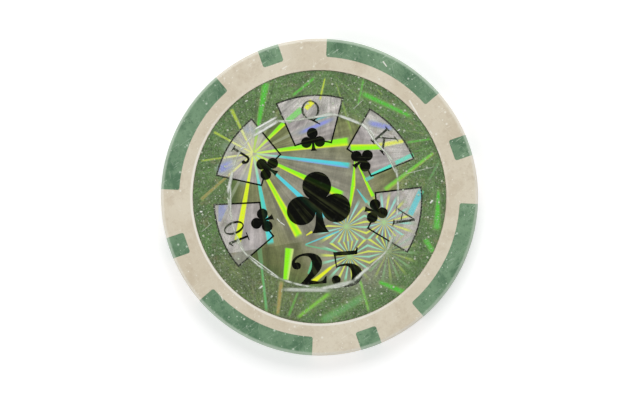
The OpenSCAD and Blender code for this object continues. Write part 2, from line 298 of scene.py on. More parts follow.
# Fuzzier streaks outside the fold, in the same form
EDGE_STREAKS = [
    # From a burst at the top edge
    ((0.75, 15.2), (0.0, 12.0), 0.16, 0.34, MOSS_CORE, 0.85),
    ((1.9, 15.0), (4.2, 7.6), 0.15, 0.24, MOSS, 0.7),
    ((-0.4, 15.2), (-3.6, 12.6), 0.30, 0.34, GREEN_CORE, 0.9),
    ((1.8, 15.4), (4.4, 13.0), 0.08, 0.20, LEAF, 0.5),
    ((5.6, 15.0), (4.8, 11.3), 0.30, 0.16, GREEN_CORE, 0.8),
    ((4.9, 13.3), (12.0, 9.9), 0.66, 0.40, GREEN_CORE, 0.95),
    ((7.2, 13.6), (8.0, 12.8), 0.12, 0.20, MOSS, 0.6),
    # From a burst at the right edge
    ((10.8, 6.8), (14.2, 7.3), 0.34, 0.18, GREEN_CORE, 0.8),
    ((9.9, 8.5), (13.6, 7.9), 0.10, 0.12, MOSS, 0.4),
    ((11.8, 5.6), (14.4, 6.3), 0.12, 0.12, GREEN, 0.45),
    ((12.2, 9.6), (14.4, 6.6), 0.20, 0.08, LEAF, 0.5),
    ((13.7, 1.9), (15.2, 4.6), 0.20, 0.25, TEAL, 0.5),
    ((15.0, 1.2), (14.75, -4.6), 0.24, 0.85, GREEN, 0.95),
    ((13.2, -5.2), (14.4, -7.1), 0.60, 0.55, GREEN, 0.85),
    # Along the bottom edge
    ((-4.75, -10.3), (-5.3, -15.2), 0.50, 0.36, TAN, 1.0),
    ((-7.4, -7.8), (-6.6, -14.9), 0.24, 0.32, TEAL_LEFT, 0.8),
    ((7.2, -10.6), (11.2, -12.3), 0.45, 0.75, GREEN_CORE, 0.95),
    ((5.0, -10.2), (6.3, -14.8), 0.36, 0.30, (LEAF, LIME, LEAF), 0.65),
    ((1.6, -11.9), (-3.1, -15.5), 0.56, 0.40, (MOSS, LIME, MOSS), 0.7),
    ((6.0, -12.4), (-0.2, -15.9), 0.80, 1.00, TEAL_LEFT, 0.55),
    ((-2.6, -11.8), (-4.0, -15.3), 0.20, 0.36, GREEN_CORE, 0.65),
    ((-12.6, -7.2), (-9.6, -10.6), 0.25, 0.35, TAN, 0.25),
    ((-13.6, 6.6), (-12.2, 8.2), 0.30, 0.20, TEAL, 0.25),
]

# Softer bands of light in the cards, in the same form
SOFT_STREAKS = [
    ((-3.6, 7.55), (2.8, 10.3), 0.55, 0.50, VIOLET, 1.0),
    ((-1.2, 9.5), (1.9, 10.6), 0.40, 0.36, CYAN, 0.8),
    ((5.2, 9.6), (10.2, 8.4), 0.80, 0.60, VIOLET, 1.0),
    ((-13.6, 2.9), (-10.0, 4.8), 1.00, 1.30, VIOLET, 1.0),
    ((-13.0, 5.9), (-9.4, 6.9), 1.20, 1.20, VIOLET, 0.6),
    ((-10.2, 9.2), (-6.6, 6.9), 1.10, 1.30, VIOLET, 0.8),
    ((-8.4, 3.9), (-10.2, 1.0), 1.00, 1.20, VIOLET, 0.5),
]

# The small bursts stand at the corners of a slightly turned rectangle
SMALL_BURST = (3.8, -7.5)
SMALL_STEP = (4.8, 3.75)
SMALL_TURN = 6.3
SMALL_RAYS = 22
SMALL_REACH = 4.4
SMALL_TINTS = (srgb(228, 238, 105), srgb(160, 228, 215))
SMALL_GLOW = srgb(168, 222, 140)
# Their tile of the foil lies to the right of either line, given by a point and an angle, and of this x
TILE_TOP = ((-2.4, -5.1), 24.0)
TILE_SIDE = ((3.3, -2.5), 80.5)
TILE_LEFT = -2.3
TILE_MIDDLE = (4.4, -6.2)
# The foil is darker to the right of this line, left of the tile
DARK_TOP = ((-6.0, -6.3), 9.0)

# Kinds of streak: share of the half width that is covered in full, and of the length over which an end fades
SHARP = (0.60, 0.05)
FUZZY = (0.15, 0.15)
SOFT = (0.10, 0.35)
GLINT = (0.15, 0.25)


def streak(graph, xy, start, end, start_half, end_half, kind):
    """How far a tapered streak covers a place, and where across it the place lies, from -1 to 1."""
    full, fade = kind
    way = Vector(end) - Vector(start)
    degrees = math.degrees(math.atan2(way.y, way.x))
    along, across = graph.seen_from(xy, start, degrees, way.length)
    half = graph.math("MULTIPLY_ADD", along, end_half - start_half, start_half)
    share = graph.math("DIVIDE", across, half)
    edge = graph.step(graph.math("ABSOLUTE", share), 1.0, full)
    ends = graph.math("MULTIPLY", graph.step(along, 0.0, fade), graph.step(along, 1.0, 1.0 - fade))
    return graph.math("MULTIPLY", edge, ends), share


def add_streak(graph, so_far, xy, start, end, start_half, end_half, band, strength, kind=SHARP):
    """Lays one streak of light over the colour and cover so far."""
    left, core, right = band if len(band) == 3 else (band, band, band)
    shape, share = streak(graph, xy, start, end, start_half, end_half, kind)
    cover = graph.math("MULTIPLY", shape, strength)
    tint = graph.mix(graph.step(share, -0.95, 0.1), right, core)
    tint = graph.mix(graph.step(share, -0.1, 0.95), tint, left)
    colour, covered = so_far
    return graph.mix(cover, colour, tint), graph.math("MAXIMUM", covered, cover)


def add_marks(graph, xy, rows, marks, kind):
    """The strongest of the marks so far and of the rows: start, end, half widths there and strength."""
    for start, end, start_half, end_half, strength in rows:
        shape, _ = streak(graph, xy, start, end, start_half, end_half, kind)
        marks = graph.math("MAXIMUM", marks, graph.math("MULTIPLY", shape, strength))
    return marks


def add_main_ray(graph, so_far, xy, degrees, length, end_half, band, strength):
    """A ray of the main burst."""
    end = Vector(MAIN_BURST) + turned(length, degrees)
    return add_streak(graph, so_far, xy, MAIN_BURST, end, RAY_START_HALF, end_half, band, strength)


def small_tile(graph, xy):
    """1 in the tile of the foil that has the small bursts."""
    lines = graph.math("MAXIMUM", graph.right_of(xy, *TILE_TOP), graph.right_of(xy, *TILE_SIDE))
    return graph.math("MULTIPLY", lines, graph.step(xy[0], TILE_LEFT - 0.1, TILE_LEFT + 0.1))


def from_small_burst(graph, xy):
    """The place as seen from the nearest small burst, and 1 where that burst is in the lower row."""
    step_x, step_y = SMALL_STEP
    along, up = graph.seen_from(xy, SMALL_BURST, SMALL_TURN)
    right_column = graph.math("GREATER_THAN", along, step_x / 2)
    upper_row = graph.math("GREATER_THAN", up, step_y / 2)
    x = graph.math("MULTIPLY_ADD", right_column, -step_x, along)
    y = graph.math("MULTIPLY_ADD", upper_row, -step_y, up)
    return x, y, graph.math("SUBTRACT", 1.0, upper_row)


def add_small_bursts(graph, so_far, xy):
    """Four bursts of fine rays, in two alternating colours, that meet halfway between their middles."""
    x, y, lower_row = from_small_burst(graph, xy)
    reach = graph.length(x, y)
    turn = graph.math("MULTIPLY", graph.math("ARCTAN2", y, x), SMALL_RAYS / (2 * math.pi))
    from_ray = graph.math("ABSOLUTE", graph.math("SUBTRACT", graph.math("FRACT", turn), 0.5))
    ray = graph.step(from_ray, 0.27, 0.12)
    parity = graph.math("MODULO", graph.math("ADD", graph.math("FLOOR", turn), 2 * SMALL_RAYS), 2.0)
    tint = graph.mix(parity, *SMALL_TINTS)
    glow = graph.step(reach, 0.7, 0.1)
    tint = graph.mix(graph.math("MULTIPLY", glow, 0.7), tint, SMALL_GLOW)
    cover = graph.math("MAXIMUM", ray, graph.math("MULTIPLY", glow, 0.85))
    cover = graph.math("MULTIPLY", cover, graph.step(reach, SMALL_REACH, SMALL_REACH * 0.6))
    # The lower row is dimmer where the film over it is hazy
    dimmed = graph.math("MULTIPLY", outside_fold(graph, xy), lower_row)
    bright = graph.step(dimmed, 0.0, 1.0, 0.95, 0.5)
    cover = graph.math("MULTIPLY", graph.math("MULTIPLY", cover, small_tile(graph, xy)), bright)
    colour, covered = so_far
    return graph.mix(cover, colour, tint), graph.math("MAXIMUM", covered, cover)


def starbursts():
    """Group with the light that the foil's moulded starbursts throw: its colour and how far it covers."""
    tree = bpy.data.node_groups.new("starbursts", "ShaderNodeTree")
    tree.interface.new_socket("Colour", in_out="OUTPUT", socket_type="NodeSocketColor")
    tree.interface.new_socket("Cover", in_out="OUTPUT", socket_type="NodeSocketFloat")
    graph = Graph(tree)
    xy = graph.label_xy()
    so_far = add_small_bursts(graph, (UNLIT, 0.0), xy)
    for row in SOFT_STREAKS:
        so_far = add_streak(graph, so_far, xy, *row, SOFT)
    for row in EDGE_STREAKS:
        so_far = add_streak(graph, so_far, xy, *row, FUZZY)
    for row in STREAKS:
        so_far = add_streak(graph, so_far, xy, *row)
    for ray in MAIN_RAYS:
        so_far = add_main_ray(graph, so_far, xy, *ray)
    colour, cover = so_far
    near = graph.step(graph.radius(xy, MAIN_BURST), 4.5, 1.2, 0.0, 0.6)
    colour = graph.mix(near, colour, HEART)
    grainy = graph.step(graph.noise(graph.flat(xy), 5.0, 3.0, 0.7), 0.3, 0.5, 0.8, 1.0)
    cover = graph.math("MULTIPLY", cover, grainy)
    output = graph.tree.nodes.new("NodeGroupOutput")
    graph.put(output.inputs["Colour"], colour)
    graph.put(output.inputs["Cover"], cover)
    return tree


def facets(graph, xy, middle, reach, fine, low, high):
    """Brightness of the narrow facets that fan out from the middle of a burst, fading out at reach."""
    x, y = graph.seen_from(xy, middle, 0.0)
    turn = graph.flat((graph.math("ARCTAN2", y, x), 0.0))
    fan = graph.step(graph.noise(turn, fine, 2.0, 0.6), 0.36, 0.64, low, high)
    away = graph.step(graph.length(x, y), reach, reach * 0.6)
    return graph.math("MULTIPLY_ADD", graph.math("SUBTRACT", fan, 1.0), away, 1.0)


def foil_grain(graph, xy, grit):
    """Brightness of the foil between its rays: facets about the bursts, drawn lines, clouding and grit."""
    grain = facets(graph, xy, MAIN_BURST, reach=17.0, fine=11.0, low=0.80, high=1.20)
    for middle in EDGE_BURSTS:
        fan = facets(graph, xy, middle, reach=12.0, fine=14.0, low=0.86, high=1.28)
        grain = graph.math("MULTIPLY", grain, fan)
    place = graph.flat(xy)
    stretched = graph.local(place, (0.0, 0.0), 78.0, (6.0, 0.09))
    drawn = graph.step(graph.noise(stretched, 1.0, 2.0), 0.3, 0.7, 0.92, 1.08)
    cloudy = graph.step(graph.noise(place, 0.5, 3.0), 0.3, 0.7, 0.80, 1.20)
    gritty = graph.step(graph.noise(place, 3.4, 4.0, 0.85), 0.34, 0.66, 0.62, 1.42)
    gritty = graph.math("MULTIPLY_ADD", graph.math("SUBTRACT", gritty, 1.0), grit, 1.0)
    drawn = graph.math("MULTIPLY", drawn, gritty)
    return graph.math("MULTIPLY", graph.math("MULTIPLY", grain, drawn), cloudy)


def scaled(graph, colour, brightness):
    return graph.vector("SCALE", colour, None, None, brightness)[0]


def label_finish(inputs):
    """Gloss of the bonded film over the print."""
    inputs["Roughness"].default_value = 0.42
    inputs["Specular IOR Level"].default_value = 0.25
    inputs["Coat Weight"].default_value = 0.5
    inputs["Coat Roughness"].default_value = 0.12


def lit(graph, base, light, tint, gain):
    """Base colour with the starbursts' light over it."""
    cover = graph.math("MULTIPLY", light.outputs["Cover"], gain)
    ray = graph.mix(1.0, light.outputs["Colour"], tint, "MULTIPLY")
    return graph.mix(cover, base, ray)


def outside_fold(graph, xy):
    """0 where the film is bonded and 1 where it has lifted."""
    return graph.step(graph.radius(xy, FOLD_MIDDLE), FOLD_R - 0.4, FOLD_R + 0.4)


def silvery(graph, xy, base):
    """Base colour with the small bursts' greyer tile, the darker foil left of it and warm patches."""
    near = graph.step(graph.radius(xy, TILE_MIDDLE), 7.5, 3.0, 0.0, 0.75)
    grey = graph.math("MULTIPLY", small_tile(graph, xy), near)
    base = graph.mix(grey, base, srgb(154, 150, 136))
    low = graph.right_of(xy, *DARK_TOP)
    left = graph.math("MULTIPLY", low, graph.step(xy[0], -1.6, -3.0, 0.0, 0.55))
    base = graph.mix(left, base, srgb(88, 96, 56))
    warm = graph.step(graph.noise(graph.flat(xy), 0.8, 4.0, 0.7), 0.5, 0.75, 0.0, 0.5)
    warm = graph.math("MULTIPLY", warm, graph.step(outside_fold(graph, xy), 0.0, 1.0, 0.25, 1.0))
    return graph.mix(warm, base, srgb(138, 124, 88))


# How gritty the bare foil looks, and the green ink where its film is bonded and where it has lifted
FOIL_GRIT = 0.2
BONDED_GRIT = 0.25
LIFTED_GRIT = 1.0


def foil_material(light_tree):
    material, graph, inputs = new_material("diffraction_foil")
    xy = graph.label_xy()
    radius = graph.math("DIVIDE", graph.radius(xy), LABEL_R)
    base = graph.ramp(radius, [
        (0.00, srgb(152, 149, 134)),
        (0.25, srgb(144, 142, 124)),
        (0.37, srgb(136, 136, 112)),
        (0.45, srgb(160, 154, 148)),
        (0.62, srgb(176, 170, 168)),
        (0.72, srgb(192, 187, 184)),
        (1.00, srgb(194, 189, 185)),
    ])
    base = scaled(graph, silvery(graph, xy, base), foil_grain(graph, xy, FOIL_GRIT))
    light = graph.group(light_tree)
    cover = light.outputs["Cover"]
    graph.put(inputs["Base Color"], graph.mix(cover, base, light.outputs["Colour"]))
    graph.put(inputs["Metallic"], graph.step(cover, 0.0, 1.0, 0.15, 0.0))
    label_finish(inputs)
    return material


def green_ink_material(light_tree):
    material, graph, inputs = new_material("green_ink")
    xy = graph.label_xy()
    radius = graph.math("DIVIDE", graph.radius(xy), LABEL_R)
    base = graph.ramp(radius, [
        (0.34, srgb(136, 136, 112)),
        (0.46, srgb(128, 129, 94)),
        (0.62, srgb(114, 121, 76)),
        (0.72, srgb(82, 112, 56)),
        (1.00, srgb(76, 112, 56)),
    ])
    lifted = outside_fold(graph, xy)
    grit = graph.step(lifted, 0.0, 1.0, BONDED_GRIT, LIFTED_GRIT)
    base = scaled(graph, silvery(graph, xy, base), foil_grain(graph, xy, grit))
    light = graph.group(light_tree)
    tint = graph.mix(lifted, (0.96, 1.0, 0.8, 1.0), (0.85, 1.0, 0.55, 1.0))
    graph.put(inputs["Base Color"], lit(graph, base, light, tint, 0.97))
    label_finish(inputs)
    return material


def black_ink_material(light_tree):
    material, graph, inputs = new_material("black_ink")
    xy = graph.label_xy()
    fan = facets(graph, xy, MAIN_BURST, reach=60.0, fine=16.0, low=0.0, high=1.0)
    sheen = graph.step(graph.math("MULTIPLY", fan, graph.noise(graph.flat(xy), 0.35)), 0.25, 0.6)
    base = graph.mix(sheen, srgb(5, 6, 3), srgb(44, 48, 26))
    light = graph.group(light_tree)
    graph.put(inputs["Base Color"], lit(graph, base, light, (0.04, 0.05, 0.02, 1.0), 0.3))
    label_finish(inputs)
    inputs["Specular IOR Level"].default_value = 0.05
    inputs["Coat Weight"].default_value = 0.1
    return material


# Marks on the upper face of the rim: start, end, half widths there and strength
RIM_MARKS = [
    ((11.3, 12.2), (12.4, 10.3), 0.14, 0.10, 0.9),
    ((12.2, 10.6), (13.1, 9.1), 0.10, 0.05, 0.7),
    ((13.9, 8.3), (14.2, 7.9), 0.08, 0.10, 0.6),
    ((14.7, 6.2), (15.3, 5.2), 0.10, 0.06, 0.6),
    ((-4.7, 16.1), (-4.1, 16.5), 0.10, 0.08, 0.7),
    ((8.0, 17.1), (8.5, 16.4), 0.12, 0.08, 0.8),
    ((-12.4, -12.5), (-12.1, -13.1), 0.10, 0.10, 0.6),
]


def rim_edge_highlight(graph, place):
    """1 on the rounded edges of the rim, where a highlight is painted."""
    x, y, z = graph.xyz(place)
    half_t = chip_t / MM / 2
    out = graph.step(graph.length(x, y), chip_r / MM - 0.5, chip_r / MM - 0.2)
    from_middle = graph.math("ABSOLUTE", graph.math("SUBTRACT", z, half_t))
    return graph.math("MULTIPLY", out, graph.step(from_middle, half_t - 0.5, half_t - 0.3))


def seat_lip_highlight(graph, place):
    """1 on the lip of the label seats, where a highlight is painted, more so at the lower left as if lit
    from there.
    """
    x, y, _ = graph.xyz(place)
    radius = graph.length(x, y)
    inner = graph.step(radius, LABEL_R, LABEL_R + 0.1)
    outer = graph.step(radius, LABEL_R + 0.42, LABEL_R + 0.25)
    ring = graph.math("MULTIPLY", inner, outer)
    return graph.math("MULTIPLY", ring, graph.step(graph.math("ADD", x, y), 8.0, -14.0, 0.1, 1.0))


# Clouds in the plastic: scale, detail and roughness of their noise, and where they begin and are full
LIGHT_CLOUDS = [(0.9, 4.0, 0.6, 0.48, 0.75), (5.0, 3.0, 0.7, 0.52, 0.70)]
DARK_CLOUDS = [(2.6, 4.0, 0.7, 0.50, 0.28), (0.35, 4.0, 0.7, 0.52, 0.34)]
# Scratches: angle, length, width and threshold
PLASTIC_SCUFFS = [(35.0, 1.6, 0.09, 0.68), (-50.0, 1.2, 0.07, 0.70), (100.0, 2.2, 0.06, 0.70)]
FILM_SCRATCHES = [
    (60.0, 1.3, 0.08, 0.62),
    (-20.0, 1.0, 0.07, 0.64),
    (115.0, 1.8, 0.07, 0.64),
    (10.0, 0.8, 0.07, 0.64),
]
# Dust: size, spacing, share of the cells that have a dot, and strength
PLASTIC_DUST = [(0.38, 1.2, 0.45, 1.0), (0.22, 0.55, 0.45, 1.0)]
FILM_DUST = [(0.36, 1.5, 0.32, 1.0), (0.22, 0.7, 0.32, 0.7), (0.16, 0.34, 0.32, 0.4)]


def add_clouds(graph, place, colour, rows, tint, strength):
    """Colour with clouds of the tint over it."""
    for scale, detail, roughness, begin, full in rows:
        noise = graph.noise(place, scale, detail, roughness)
        colour = graph.mix(graph.step(noise, begin, full, 0.0, strength), colour, tint)
    return colour


def all_scratches(graph, place, rows):
    marks = 0.0
    for row in rows:
        marks = graph.math("MAXIMUM", marks, graph.scratches(place, *row))
    return marks


def all_dust(graph, place, rows, flat):
    dust = 0.0
    for size, spacing, share, strength in rows:
        specks = graph.specks(place, size, spacing, share, flat)
        dust = graph.math("MAXIMUM", dust, graph.math("MULTIPLY", specks, strength))
    return dust


def add_bump(graph, inputs, height):
    bump = graph.add("Bump")
    bump.inputs["Strength"].default_value = 0.25
    bump.inputs["Distance"].default_value = 0.02 * MM
    graph.put(bump.inputs["Height"], height)
    graph.put(inputs["Normal"], bump.outputs[0])


def plastic_material(name, base, light, dark, worn, mottle):
    """Moulded plastic with clouding, grain, scuffs and specks, and painted highlights on the rim edges and
    seat lips.
    """
    material, graph, inputs = new_material(name)
    place = graph.place()
    colour = graph.mix(graph.step(graph.noise(place, 0.16, 3.0), 0.3, 0.7), base, light)
    colour = add_clouds(graph, place, colour, LIGHT_CLOUDS, light, mottle)
    colour = add_clouds(graph, place, colour, DARK_CLOUDS, dark, mottle)
    scuffs = all_scratches(graph, place, PLASTIC_SCUFFS)
    colour = graph.mix(graph.math("MULTIPLY", scuffs, 0.45), colour, worn)
    dust = all_dust(graph, place, PLASTIC_DUST, False)
    colour = graph.mix(graph.math("MULTIPLY", dust, 0.8), colour, worn)
    # Painted highlight: the rim edges and the seat lips take the pale worn colour, as if lit
    rim_highlight = graph.math("MULTIPLY", rim_edge_highlight(graph, place), 0.6)
    colour = graph.mix(graph.math("MAXIMUM", rim_highlight, seat_lip_highlight(graph, place)), colour, worn)
    graph.put(inputs["Base Color"], add_rim_marks(graph, place, colour))
    rough = graph.step(graph.noise(place, 2.5, 4.0, 0.6), 0.3, 0.7, 0.38, 0.55)
    graph.put(inputs["Roughness"], rough)
    inputs["Specular IOR Level"].default_value = 0.4
    add_bump(graph, inputs, graph.math("MULTIPLY_ADD", scuffs, -0.6, graph.noise(place, 7.0, 4.0, 0.6)))
    return material


def add_rim_marks(graph, place, colour):
    """A few long pale marks on the upper face of the rim."""
    x, y, z = graph.xyz(place)
    on_top = graph.math("GREATER_THAN", z, chip_t / MM - 0.1)
    marks = add_marks(graph, (x, y), RIM_MARKS, 0.0, SHARP)
    return graph.mix(graph.math("MULTIPLY", marks, on_top), colour, srgb(240, 238, 228))


def steel_material():
    material, graph, inputs = new_material("stamped_steel")
    place = graph.place()
    rolled = graph.noise(graph.local(place, (0.0, 0.0), 15.0, (9.0, 0.15)), 1.0, 3.0)
    graph.put(inputs["Base Color"], graph.mix(rolled, srgb(150, 152, 154), srgb(184, 186, 188)))
    graph.put(inputs["Roughness"], graph.step(rolled, 0.3, 0.7, 0.28, 0.45))
    inputs["Metallic"].default_value = 1.0
    return material


def adhesive_material():
    material, graph, inputs = new_material("label_adhesive")
    place = graph.place()
    cloudy = graph.step(graph.noise(place, 1.2, 4.0), 0.3, 0.7)
    graph.put(inputs["Base Color"], graph.mix(cloudy, srgb(206, 198, 176), srgb(226, 220, 200)))
    graph.put(inputs["Roughness"], graph.step(cloudy, 0.0, 1.0, 0.35, 0.55))
    return material


# Outline of the fold, from the right round to the left and back, in label millimetres
FOLD_POINTS = [
    (9.9, 0.6), (9.7, 3.1), (8.7, 5.2), (7.2, 6.7), (6.4, 8.2), (5.3, 9.1), (4.0, 9.75), (1.1, 10.4),
    (-1.0, 9.95), (-4.3, 9.4), (-5.4, 9.55), (-7.0, 8.6), (-8.5, 7.6), (-9.7, 6.2), (-10.5, 4.8),
    (-11.0, 2.9), (-11.45, 0.0), (-11.2, -2.1), (-10.8, -4.0), (-10.1, -6.1), (-9.4, -7.1), (-8.1, -8.3),
    (-5.0, -10.3), (-2.5, -11.1), (0.0, -11.5), (2.0, -11.45), (4.2, -10.7), (5.5, -9.7), (6.8, -8.4),
    (8.4, -6.9), (9.1, -5.4), (9.6, -3.1),
]
# Sizes of the film, in millimetres: its thickness, its gap over the print where it is bonded, the ripple
# where it has lifted and half the width of the crease
FILM_T = 0.05
FILM_GAP = 0.008
LIFT_WAVE = 0.012
CREASE_HALF = 0.2
# Where the film rises, turns hazy and starts to ripple, in millimetres out from the fold
RISE_SPAN = (-0.28, 0.1)
HAZE_SPAN = (-0.15, 0.25)
RIPPLE_SPAN = (0.0, 1.5)
# Mesh of the film: directions, and rings as shares of the way from the middle to the fold, millimetres out
# from the fold and shares of the way from there to the edge
FILM_STEPS = 360
INNER_SHARES = (0.02, 0.2, 0.4, 0.6, 0.8, 0.92)
FOLD_OFFSETS = (-0.36, -0.24, -0.16, -0.08, 0.0, 0.08, 0.16, 0.24, 0.36, 0.55)
OUTER_SHARES = (0.2, 0.4, 0.6, 0.8, 0.95, 1.0)


def fold_radius(angle):
    """Distance of the fold from the middle of the label, in the direction given in radians."""
    points = [(math.atan2(y, x) % (2 * math.pi), math.hypot(x, y)) for x, y in FOLD_POINTS]
    points.sort()
    count = len(points)
    after = next((i for i, (a, _) in enumerate(points) if a > angle), count)
    knots = []
    for i in range(after - 2, after + 2):
        a, r = points[i % count]
        knots.append((a + 2 * math.pi * (i // count), r))
    (a0, r0), (a1, r1), (a2, r2), (a3, r3) = knots
    t = (angle - a1) / (a2 - a1)
    slope1 = (r2 - r0) / (a2 - a0) * (a2 - a1)
    slope2 = (r3 - r1) / (a3 - a1) * (a2 - a1)
    return (
        (2 * t**3 - 3 * t**2 + 1) * r1 + (t**3 - 2 * t**2 + t) * slope1
        + (3 * t**2 - 2 * t**3) * r2 + (t**3 - t**2) * slope2
    )


def smooth(low, high, value):
    """Runs smoothly from 0 to 1 while value goes from low to high."""
    t = min(1.0, max(0.0, (value - low) / (high - low)))
    return t * t * (3 - 2 * t)


def film_rings(fold):
    """Radii of the film's mesh along one direction."""
    inner = [share * (fold + FOLD_OFFSETS[0]) for share in INNER_SHARES]
    near = [fold + offset for offset in FOLD_OFFSETS]
    outer = [near[-1] + share * (LABEL_R - near[-1]) for share in OUTER_SHARES]
    return inner + near + outer


def film_height(radius, fold, angle):
    """Height of the film's underside above the print, in millimetres."""
    lifted = (film_top - film_bottom) / MM - FILM_GAP - FILM_T - LIFT_WAVE
    rise = smooth(*RISE_SPAN, radius - fold)
    ripple = math.sin(9 * angle + 0.8 * radius) * math.sin(4 * angle - 0.5 * radius)
    away = smooth(*RIPPLE_SPAN, radius - fold)
    return FILM_GAP + lifted * rise + LIFT_WAVE * ripple * away * rise


def film_points():
    """Points of the film's underside and then of its top, with how far each is lifted and creased."""
    points = []
    lifts = []
    creases = []
    angles = [2 * math.pi * i / FILM_STEPS for i in range(FILM_STEPS)]
    folds = [fold_radius(angle) for angle in angles]
    for thick in (0.0, FILM_T):
        points.append((0.0, 0.0, film_bottom / MM + FILM_GAP + thick))
        lifts.append(0.0)
        creases.append(0.0)
        for angle, fold in zip(angles, folds):
            for radius in film_rings(fold):
                height = film_bottom / MM + film_height(radius, fold, angle) + thick
                points.append((radius * math.cos(angle), radius * math.sin(angle), height))
                lifts.append(smooth(*HAZE_SPAN, radius - fold))
                creases.append(1.0 - smooth(0.0, CREASE_HALF, abs(radius - fold)))
    return points, lifts, creases


def film_faces():
    """Faces between those points, which make a closed mesh."""
    ring_count = len(INNER_SHARES) + len(FOLD_OFFSETS) + len(OUTER_SHARES)
    last = ring_count - 1
    top_middle = 1 + FILM_STEPS * ring_count

    def corner(layer, step, ring):
        return layer * top_middle + 1 + (step % FILM_STEPS) * ring_count + ring

    faces = []
    for i in range(FILM_STEPS):
        j = i + 1
        faces.append((0, corner(0, j, 0), corner(0, i, 0)))
        faces.append((top_middle, corner(1, i, 0), corner(1, j, 0)))
        for k in range(last):
            faces.append((corner(0, i, k), corner(0, j, k), corner(0, j, k + 1), corner(0, i, k + 1)))
            faces.append((corner(1, i, k), corner(1, i, k + 1), corner(1, j, k + 1), corner(1, j, k)))
        faces.append((corner(0, i, last), corner(0, j, last), corner(1, j, last), corner(1, i, last)))
    return faces


def film_mesh(name, upper):
    """The clear film over one label, bonded inside its fold and lifted outside."""
    points, lifts, creases = film_points()
    mesh = bpy.data.meshes.new(name)
    mesh.from_pydata(points, [], film_faces())
    for label, values in (("lift", lifts), ("crease", creases)):
        attribute = mesh.attributes.new(label, "FLOAT", "POINT")
        attribute.data.foreach_set("value", values)
    mesh.transform(Matrix.Scale(MM, 4))
    if not upper:
        mesh.transform(Matrix.Translation((0.0, 0.0, chip_t)) @ Matrix.Rotation(math.pi, 4, "X"))
    mesh.polygons.foreach_set("use_smooth", [True] * len(mesh.polygons))
    mesh.update()
    return mesh


def film_piece(name, replaced, material, upper):
    mesh = film_mesh(name, upper)
    mesh.materials.append(material)
    piece = bpy.data.objects.new(name, mesh)
    bpy.context.scene.collection.objects.link(piece)
    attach(piece, "root")
    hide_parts(replaced)


# White glints along the film's fold: start, end, half widths there and strength
GLINTS = [
    ((-8.9, 7.3), (-4.8, 9.8), 0.22, 0.28, 1.0),
    ((-8.6, 8.25), (-5.1, 10.2), 0.17, 0.20, 1.0),
    ((-8.5, 7.9), (-5.2, 9.9), 0.40, 0.36, 0.4),
    ((-5.6, 9.5), (-2.6, 9.65), 0.20, 0.12, 0.6),
    ((-8.8, 7.5), (-9.6, 6.2), 0.12, 0.10, 0.7),
    ((-10.1, 6.0), (-9.1, 6.35), 0.16, 0.14, 0.8),
    ((-1.2, 9.95), (2.2, 10.45), 0.20, 0.22, 0.8),
    ((2.0, 10.4), (5.6, 9.0), 0.20, 0.22, 0.8),
    ((5.2, 9.3), (6.3, 8.3), 0.24, 0.24, 0.9),
    ((5.9, 8.6), (6.9, 7.0), 0.10, 0.14, 1.0),
    ((6.3, 8.6), (7.0, 7.5), 0.10, 0.12, 0.9),
    ((6.7, 7.3), (8.5, 5.4), 0.16, 0.14, 0.8),
    ((8.3, 5.7), (9.8, 2.6), 0.14, 0.14, 0.6),
    ((-10.9, 3.6), (-11.6, 0.2), 0.26, 0.30, 0.8),
    ((-11.2, 1.8), (-11.2, -2.4), 0.12, 0.16, 0.7),
    ((-10.6, -4.6), (-9.3, -7.2), 0.12, 0.12, 0.5),
    ((-9.4, -7.0), (-4.6, -10.6), 0.10, 0.14, 0.7),
    ((-5.2, -11.7), (1.9, -11.8), 0.34, 0.40, 0.6),
    ((-0.8, -11.9), (4.9, -10.5), 0.36, 0.30, 0.6),
    ((4.2, -10.7), (6.4, -8.7), 0.26, 0.30, 0.8),
    ((6.2, -9.0), (8.8, -6.5), 0.16, 0.12, 0.6),
    ((8.4, -7.0), (9.4, -4.3), 0.12, 0.12, 0.5),
]

# Hair scratches and large specks on the film, in the same form
HAIRS = [
    ((-5.4, -2.7), (-4.95, -3.25), 0.08, 0.09, 0.9),
    ((-5.05, -3.15), (-4.25, -3.7), 0.10, 0.06, 0.9),
    ((10.2, 2.7), (15.0, 3.9), 0.06, 0.05, 0.5),
    ((4.0, 10.8), (5.7, 12.4), 0.06, 0.05, 0.5),
    ((-15.0, -4.6), (-13.4, -3.2), 0.06, 0.05, 0.4),
    ((-15.1, -1.9), (-14.7, -1.9), 0.16, 0.16, 0.9),
    ((-7.6, -11.6), (-7.1, -11.2), 0.14, 0.18, 0.9),
    ((13.9, -0.9), (14.3, -0.4), 0.16, 0.20, 0.9),
    ((9.8, 8.3), (10.2, 8.5), 0.12, 0.10, 0.8),
    ((-9.4, 12.0), (-9.0, 12.2), 0.12, 0.10, 0.7),
    ((-3.0, 11.2), (-2.6, 12.0), 0.08, 0.12, 0.6),
]


